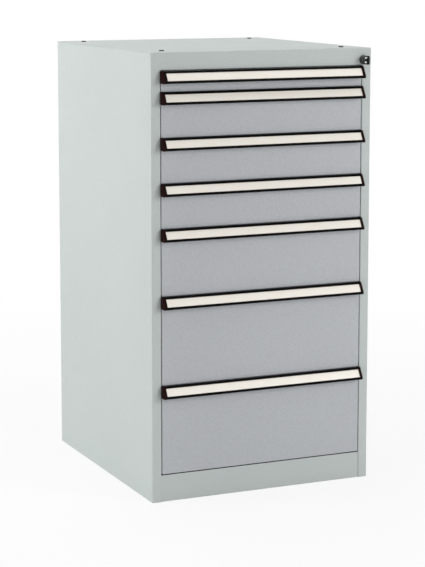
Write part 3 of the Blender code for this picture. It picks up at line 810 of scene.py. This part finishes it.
# A sheet with slots: the section's line and the steps along the tray make a grid, whose cells in a slot are left
# out. The line runs from the left rim down the wall, over the floor and up to the right rim.
def slottedTrough(low, high, half, railTop):
    look = trayLook
    mid = look["sheet"] / 2
    wall, floor, top = half - mid, low.z + mid, high.z - mid
    line = bentLine([
        (-half - look["rim"] + mid, top), (-wall, top), (-wall, floor), (wall, floor), (wall, top),
        (half + look["rim"] - mid, top),
    ], look["bend"], look["bendSteps"])
    length = np.concatenate([[0], np.linalg.norm(np.diff(line, axis=0), axis=1).cumsum()])
    leftWall, base, rightWall = np.arange(1, 4) * (look["bendSteps"] + 1)  # the points that end the first three bends
    rows, rowHeight = slotRows(railTop + look["overRail"], top)
    rowEdges = edgesOf(rows, rowHeight)
    across = slotPlaces(-wall, wall, look["floorPitch"], look["margin"] * 2)
    wanted = np.concatenate([
        length,
        length[leftWall] + line[leftWall, 1] - rowEdges,
        length[base] + edgesOf(across, look["floorSlot"]) - line[base, 0],
        length[rightWall] + rowEdges - line[rightWall, 1],
    ])
    place = np.unique(wanted.round(gridDigits))
    profile = np.column_stack([np.interp(place, length, line[:, 0]), np.interp(place, length, line[:, 1])])
    slots = slotPlaces(low.y, high.y, look["slotPitch"], look["margin"])
    steps = np.unique(np.concatenate([[low.y, high.y], edgesOf(slots, look["slotWidth"])]).round(gridDigits))
    points = along("y", [profile] * len(steps), steps)
    cells = gridCells(len(steps), len(profile), False, False)
    centre = points.reshape(-1, 3)[cells].mean(1)
    slit = within(centre[:, 1], slots, look["slotWidth"])
    inWall = (np.abs(np.abs(centre[:, 0]) - wall) < look["flatness"]) & within(centre[:, 2], rows, rowHeight)
    inFloor = (np.abs(centre[:, 2] - floor) < look["flatness"]) & within(centre[:, 0], across, look["floorSlot"])
    inFloor &= within(centre[:, 1], slots[1::2], look["slotWidth"])
    return points, [tuple(cell) for cell in cells[~(slit & (inWall | inFloor))]]


# An end wall: a flat grid across the tray, with its slots left out
def slottedEnd(low, high, half, place):
    look = trayLook
    sides = half - look["sheet"]
    bottom, top = low.z + look["sheet"], high.z - look["sheet"]
    rows, rowHeight = slotRows(bottom + look["margin"], top)
    slots = slotPlaces(-sides, sides, look["slotPitch"], look["margin"])
    across = np.unique(np.concatenate([[-sides, sides], edgesOf(slots, look["slotWidth"])]).round(gridDigits))
    up = np.unique(np.concatenate([[bottom, top], edgesOf(rows, rowHeight)]).round(gridDigits))
    x, z = np.meshgrid(across, up)
    points = np.stack([x, np.full_like(x, place), z], -1)
    cells = gridCells(len(up), len(across), False, False)
    centre = points.reshape(-1, 3)[cells].mean(1)
    inSlot = within(centre[:, 0], slots, look["slotWidth"]) & within(centre[:, 2], rows, rowHeight)
    return points, [tuple(cell) for cell in cells[~inSlot]]


# The tray's sheet gets its thickness from Solidify; its rails are bent channels, and the catch for the lock bar's
# hook is a flat bar
def drawerTray(number):
    low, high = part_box(f"drawer_{number}_tray")
    look, rail, catch = trayLook, railLook, catchLook
    half = high.x - rail["reach"]
    railLow = low.z + rail["lift"]
    railTop = railLow + rail["height"]
    inset = look["endInset"] + look["sheet"] / 2
    parts = [slottedTrough(low, high, half, railTop)]
    parts += [slottedEnd(low, high, half, place) for place in (low.y + inset, high.y - inset)]
    tray = meshPiece(f"tray_{number}", parts, trayPaint, closed=False)
    tray.data.shade_flat()
    sheet = tray.modifiers.new("Sheet", "SOLIDIFY")
    sheet.thickness = look["sheet"]
    sheet.offset = 0
    sheet.use_even_offset = True
    dressed(tray, f"drawer_{number}", f"drawer_{number}_tray")
    mid = look["sheet"] / 2
    path = np.array([
        (half - mid, railLow + mid), (high.x - mid, railLow + mid), (high.x - mid, railTop - mid),
        (half - mid, railTop - mid),
    ])
    section = sheetSection(path, look["sheet"], rail["bend"], rail["bendSteps"])
    railPlaces = [frontPlane + rail["start"], high.y - look["endInset"]]
    left, right = half - mid, half + catch["reach"]
    bottom, top = railTop + catch["above"], railTop + catch["above"] + catch["height"]
    corners = [(left, bottom), (right, bottom), (right, top), (left, top)]
    bar = roundedOutline(corners, catch["corner"], catch["cornerSteps"])
    catchFront = frontPlane + catch["front"]
    rails = meshPiece(f"rails_{number}", [
        skinOf(along("y", [section] * 2, railPlaces)),
        skinOf(along("y", [section * (-1, 1)] * 2, railPlaces)),
        skinOf(along("y", [bar] * 2, [catchFront, catchFront + catch["depth"]])),
    ], runnerZinc)
    return dressed(rails, f"drawer_{number}")


for number in drawerNumbers:
    drawerTray(number)
print("trays folded and slotted")


plugLook = {
    "count": 4,
    "steps": 48,
    "axis": 0.0004,
    "dimpleShares": (0.34, 0.42),
    "dimpleDepths": (0.0007, 0.0002),
    "edge": 0.0016,
    "edgeSteps": 9,
    "rise": 0.0020,
    "bead": 0.0009,
    "beadTop": 0.0018,
    "beadSides": (0.0020, 0.0024),
    "tipShare": 0.84,
}


# The profile runs from the dimple in the head, over the rounded rim and the bead, down to the tip. The rim is a
# quarter circle: its sine sets it in from the plug's side, and its cosine sets it down from the head.
def topPlug(number):
    look = plugLook
    node = f"top_plug_{number}"
    low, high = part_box(node)
    centre = ((low.x + high.x) / 2, (low.y + high.y) / 2, high.z)
    bead = (high.x - low.x) / 2
    radius = bead - look["bead"]
    depth = high.z - low.z
    axis, rise, edge = look["axis"], look["rise"], look["edge"]
    dimple, dimpleRim = look["dimpleDepths"]
    turn = np.linspace(0, np.pi / 2, look["edgeSteps"])
    rim = np.column_stack([radius - edge * (1 - np.sin(turn)), -edge * (1 - np.cos(turn))])
    profile = np.concatenate([
        [(axis, -dimple), (radius * look["dimpleShares"][0], -dimple), (radius * look["dimpleShares"][1], -dimpleRim)],
        rim,
        [(radius, -rise - look["beadTop"]), (bead, -rise - look["beadSides"][0]), (bead, -rise - look["beadSides"][1]),
         (radius * look["tipShare"], -depth), (axis, -depth)],
    ])
    plug = meshPiece(node + "_turned", [skinOf(turnedRings(profile, centre, "z", look["steps"]))], plugPlastic)
    return dressed(plug, "casing", node)


for number in range(1, plugLook["count"] + 1):
    topPlug(number)
print("plugs turned")


lockLow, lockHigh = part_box("lock_housing")
lockCentre = ((lockLow.x + lockHigh.x) / 2, frontPlane, (lockLow.z + lockHigh.z) / 2)
lockLook = {
    "steps": 64,
    "barrel": 0.0065,
    "wall": 0.0012,
    "mouth": 0.0009,
    "bezelFront": 0.0100,
    "bezelEdge": 0.0014,
    "edgeSteps": 8,
    "foot": 0.0020,
    "footBevel": 0.0003,
    "footStep": 0.0004,
}


# The profile runs from the rear of the barrel's bore, round the foot, over the nose and back into the mouth.
# Nose and mouth are quarter circles, given by the sine and the cosine of the same turn.
def lockHousing():
    look = lockLook
    reach = frontPlane - lockLow.y
    rear = lockHigh.y - frontPlane
    radius = (lockHigh.x - lockLow.x) / 2
    bore = look["barrel"] + clearance
    shaft = bore + look["wall"]
    foot, bevel, step = look["foot"], look["footBevel"], look["footStep"]
    turn = np.linspace(0, np.pi / 2, look["edgeSteps"])
    nose = np.column_stack([
        look["bezelFront"] - look["bezelEdge"] * (1 - np.cos(turn)), -reach + look["bezelEdge"] * (1 - np.sin(turn)),
    ])
    mouth = np.column_stack([
        bore + look["mouth"] * (1 - np.sin(turn)), -reach + look["mouth"] * (1 - np.cos(turn)),
    ])
    profile = np.concatenate([
        [(bore, rear), (shaft, rear), (shaft, -clearance)],
        [(radius - bevel, -clearance), (radius, -clearance - bevel), (radius, -foot), (radius - step, -foot - bevel)],
        nose,
        mouth,
    ])
    rings = turnedRings(profile, lockCentre, "y", look["steps"])
    return dressed(meshPiece("lock_bezel", [tubeOf(rings)], lockPlastic), "casing", "lock_housing")


keyLook = {
    "steps": 64,
    "bowDepth": 0.0100,
    "bowHalf": 0.0018,
    "bowEdge": 0.0008,
    "bowEdgeSteps": 9,
    "bowPower": 3.2,
    "flatFrom": 0.2,  # the least cosine of an edge's turn that lies at a flat side
    "hole": 0.0024,
    "neckRear": 0.0160,
    "neckHalf": (0.0018, 0.0031),
    "neckCorner": 0.0008,
    "neckSteps": 5,
    "bladeOverlap": 0.001,
    "bladeHalf": (0.0011, 0.0035),
    "bladeCorner": 0.0003,
    "bladeCornerSteps": 3,
    "bladeSteps": 33,
    "teeth": 4,
    "toothDepth": 0.0014,
    "toothRise": 0.2,
}


# The bow is a flat ring with rounded edges. Its inner edge is a circle and its outer edge a superellipse, at the
# radius where the shares of the half depth and the half height, each to a power, add up to one.
# Each edge's rings follow half a turn: the sine draws them in, and the cosine moves them across the bow.
# The blade's upper edge is cut by a row of sine arches.
def lockKey():
    look = keyLook
    low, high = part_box("key")
    centre = np.array([(low.x + high.x) / 2, 0, (low.z + high.z) / 2])
    tall, deep = (high.z - low.z) / 2, look["bowDepth"] / 2
    hub = low.y + deep
    angle = np.linspace(0, 2 * np.pi, look["steps"], endpoint=False)
    cosine, sine = np.cos(angle), np.sin(angle)
    power, edge = look["bowPower"], look["bowEdge"]
    outer = (np.abs(cosine / deep) ** power + np.abs(sine / tall) ** power) ** (-1 / power)
    turn = np.linspace(0, np.pi, look["bowEdgeSteps"])[:, None]
    drawnIn = edge * (1 - np.sin(turn))
    flat = (look["bowHalf"] - edge) * np.sign(np.cos(turn))
    across = np.where(np.abs(np.cos(turn)) > look["flatFrom"], flat, 0) + edge * np.cos(turn)
    radii = np.concatenate([outer - drawnIn, np.broadcast_to(look["hole"] + drawnIn, (len(turn), len(angle)))])
    aside = np.broadcast_to(np.concatenate([across, -across]), radii.shape)
    rings = np.stack([centre[0] + aside, hub + radii * cosine, centre[2] + radii * sine], -1)
    square = np.array([(-1, -1), (1, -1), (1, 1), (-1, 1)])
    neck = roundedOutline(square * look["neckHalf"], look["neckCorner"], look["neckSteps"]) + centre[[0, 2]]
    neckFront = low.y + look["bowDepth"] - look["neckHalf"][0]
    neckRear = low.y + look["neckRear"]
    key = meshPiece("key_bow", [tubeOf(rings), skinOf(along("y", [neck] * 2, [neckFront, neckRear]))], keyPlastic)
    dressed(key, "lock_key", "key")
    blade = roundedOutline(square * look["bladeHalf"], look["bladeCorner"], look["bladeCornerSteps"])
    share = np.linspace(0, 1, look["bladeSteps"])
    cuts = look["toothDepth"] * np.abs(np.sin(look["teeth"] * np.pi * share)) * share ** look["toothRise"]
    top = look["bladeHalf"][1]
    blades = [np.column_stack([blade[:, 0], np.minimum(blade[:, 1], top - cut)]) + centre[[0, 2]] for cut in cuts]
    places = np.linspace(neckRear - look["bladeOverlap"], high.y, look["bladeSteps"])
    steel = meshPiece("key_blade", [skinOf(along("y", blades, places))], lockZinc)
    return dressed(steel, "lock_key")


lockHousing()
dressNode("lock_cylinder", lockChrome)
lockKey()
print("lock made")


stageLook = {
    "size": 14.0,
    "colour": srgb(250, 250, 250),
    "bounce": srgb(250, 250, 250),
    "roughness": 0.8,
    "specular": 0.1,
    "shadow": 0.17,
    "fadeStart": 0.9,
    "fadeEnd": 2.2,
}
lightLook = {
    "ambient": 0.18,
    "aim": (0, 0, 0.5),
    "left": {"place": (-3.6, 0.3, 1.7), "size": 3.6, "power": 93},
    "right": {"place": (3.9, 0.5, 1.3), "size": 2.6, "power": 26},
    "corner": {"place": (2.2, -2.9, 1.6), "size": 1.2, "power": 42},
    "front": {"place": (1.4, -3.8, 2.2), "size": 2.4, "power": 7},
    "low": {"place": (0.9, -3.3, 0.25), "size": 1.4, "power": 14},
    "rear": {"place": (-0.5, 4.2, 1.4), "size": 2.6, "power": 48},
    "top": {"place": (0.0, 0.2, 3.6), "size": 2.4, "power": 39},
}
cameraLook = {
    "place": (-1.80294, -4.02955, 1.20736),
    "yaw": 0.42160,
    "pitch": -0.13488,
    "lens": 118.9946,
    "sensor": 36,
    "shift": -0.13,
}


# The share of rays that see the studio as white: those of the camera, and those that gloss and glass send on
def seenWhite(tree):
    path = tree.nodes.new("ShaderNodeLightPath")
    seen = path.outputs["Is Camera Ray"]
    for ray in ("Is Glossy Ray", "Is Transmission Ray"):
        either = tree.nodes.new("ShaderNodeMath")
        either.operation = "MAXIMUM"
        tree.links.new(seen, either.inputs[0])
        tree.links.new(path.outputs[ray], either.inputs[1])
        seen = either.outputs["Value"]
    return seen


def mixedShaders(tree, share, first, second):
    mixed = tree.nodes.new("ShaderNodeMixShader")
    tree.links.new(share, mixed.inputs["Fac"])
    tree.links.new(first, mixed.inputs[1])
    tree.links.new(second, mixed.inputs[2])
    return mixed.outputs["Shader"]


# Other rays meet a plain matt floor. The camera sees it nearly white, with a share of the object's shadow left,
# and all white where it meets the background.
def paleFloor():
    look = stageLook
    tree, shader, made = newMaterial("Pale floor", look["roughness"])
    shader.inputs["Base Color"].default_value = look["colour"]
    shader.inputs["Specular IOR Level"].default_value = look["specular"]
    bounce = tree.nodes.new("ShaderNodeBsdfDiffuse")
    bounce.inputs["Color"].default_value = look["bounce"]
    white = tree.nodes.new("ShaderNodeEmission")
    place = tree.nodes.new("ShaderNodeTexCoord")
    reach = tree.nodes.new("ShaderNodeVectorMath")
    reach.operation = "LENGTH"
    tree.links.new(place.outputs["Object"], reach.inputs[0])
    fade = spread(tree, reach.outputs["Value"], 1 - look["shadow"], 1, look["fadeStart"], look["fadeEnd"])
    lit = mixedShaders(tree, fade, shader.outputs["BSDF"], white.outputs["Emission"])
    seen = mixedShaders(tree, seenWhite(tree), bounce.outputs["BSDF"], lit)
    tree.links.new(seen, tree.nodes["Material Output"].inputs["Surface"])
    half = look["size"] / 2
    points = [(-half, -half, 0), (half, -half, 0), (half, half, 0), (-half, half, 0)]
    meshPiece("floor", [(points, [(0, 1, 2, 3)])], made, closed=False)


def whiteWorld():
    world = bpy.data.worlds.new("Studio")
    world.use_nodes = True
    bpy.context.scene.world = world
    tree = world.node_tree
    ambient = tree.nodes["Background"]
    ambient.inputs["Color"].default_value = (1, 1, 1, 1)
    ambient.inputs["Strength"].default_value = lightLook["ambient"]
    white = tree.nodes.new("ShaderNodeBackground")
    white.inputs["Color"].default_value = (1, 1, 1, 1)
    seen = mixedShaders(tree, seenWhite(tree), ambient.outputs["Background"], white.outputs["Background"])
    tree.links.new(seen, tree.nodes["World Output"].inputs["Surface"])


def softLamp(name):
    look = lightLook[name]
    lamp = bpy.data.lights.new(name, "AREA")
    lamp.shape = "SQUARE"
    lamp.size = look["size"]
    lamp.energy = look["power"]
    item = bpy.data.objects.new(name, lamp)
    item.location = look["place"]
    item.rotation_euler = (Vector(lightLook["aim"]) - item.location).to_track_quat("-Z", "Y").to_euler()
    bpy.context.scene.collection.objects.link(item)


def photoCamera():
    look = cameraLook
    view = bpy.data.cameras.new("camera")
    view.lens = look["lens"]
    view.sensor_width = look["sensor"]
    view.shift_y = look["shift"]
    item = bpy.data.objects.new("camera", view)
    yaw, pitch = look["yaw"], look["pitch"]
    ahead = Vector((math.sin(yaw) * math.cos(pitch), math.cos(yaw) * math.cos(pitch), math.sin(pitch)))
    item.location = look["place"]
    item.rotation_euler = ahead.to_track_quat("-Z", "Y").to_euler()
    bpy.context.scene.collection.objects.link(item)
    bpy.context.scene.camera = item


paleFloor()
whiteWorld()
for name in ("left", "right", "corner", "front", "low", "rear", "top"):
    softLamp(name)
photoCamera()
bpy.context.scene.view_settings.view_transform = "Standard"
print("stage, lights and camera set")
